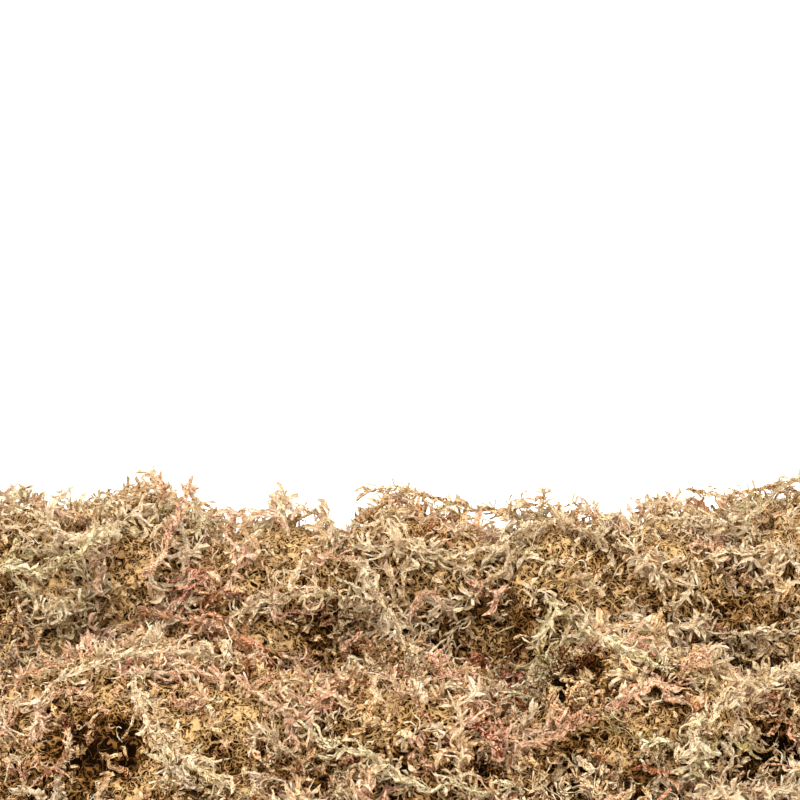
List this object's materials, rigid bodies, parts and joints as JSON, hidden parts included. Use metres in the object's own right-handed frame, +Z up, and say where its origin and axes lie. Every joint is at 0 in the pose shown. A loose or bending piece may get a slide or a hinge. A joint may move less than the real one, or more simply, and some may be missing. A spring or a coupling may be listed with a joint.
{
  "type": "sphagnum moss clump",
  "caption": "Heaped clump of loose, dried, long-fibre sphagnum moss, flat underneath, with leafy strands and rosette tips lying over it.",
  "frame": {"origin": "middle of the base, on the surface that the heap stands on", "axes": "+X along the heap to the right, +Y from the front to the back, +Z up"},
  "size_m": [0.4346, 0.316, 0.1384],
  "materials": {
    "straw_moss": "dull, dry, straw-coloured moss with frayed leafy strands",
    "cream_moss": "dull, dry moss bleached to cream",
    "olive_moss": "dull, dry moss that has kept some olive green",
    "pink_moss": "dull, dry moss flushed with pink and salmon",
    "brown_moss": "dull, dry, brown moss from low in the heap",
    "green_moss": "dull, dry, pale green-white moss"
  },
  "bodies": {
    "root": {"base_tuft_front_far_left": "pink_moss", "base_tuft_front_left": "brown_moss", "base_tuft_front_right": "straw_moss", "base_tuft_front_far_right": "pink_moss", "base_tuft_middle_far_left": "brown_moss", "base_tuft_middle_left": "straw_moss", "base_tuft_middle_centre": "brown_moss", "base_tuft_middle_right": "straw_moss", "base_tuft_middle_far_right": "olive_moss", "base_tuft_back_far_left": "straw_moss", "base_tuft_back_left": "olive_moss", "base_tuft_back_right": "straw_moss", "base_tuft_back_far_right": "brown_moss", "shoulder_tuft_far_left": "olive_moss", "shoulder_tuft_left": "pink_moss", "shoulder_tuft_centre": "pink_moss", "shoulder_tuft_right": "straw_moss", "shoulder_tuft_far_right": "straw_moss", "crest_tuft_far_left": "olive_moss", "crest_tuft_left": "straw_moss", "crest_tuft_inner_left": "pink_moss", "crest_tuft_centre": "straw_moss", "crest_tuft_inner_right": "olive_moss", "crest_tuft_right": "straw_moss", "crest_tuft_far_right": "cream_moss", "loose_strand_crest_far_left": "cream_moss", "loose_strand_crest_left": "pink_moss", "loose_strand_crest_centre": "straw_moss", "loose_strand_crest_right": "cream_moss", "loose_strand_crest_far_right": "straw_moss", "loose_strand_slope_far_left": "green_moss", "loose_strand_slope_left": "brown_moss", "loose_strand_slope_inner_left": "cream_moss", "loose_strand_slope_centre": "cream_moss", "loose_strand_slope_inner_right": "cream_moss", "loose_strand_slope_right": "green_moss", "loose_strand_slope_far_right": "cream_moss", "loose_strand_front_far_left": "cream_moss", "loose_strand_front_left": "cream_moss", "loose_strand_front_centre": "green_moss", "loose_strand_front_right": "pink_moss", "loose_strand_front_far_right": "cream_moss", "loose_strand_back_left": "straw_moss", "loose_strand_back_centre": "cream_moss", "loose_strand_back_right": "olive_moss"}
  },
  "joints": []
}
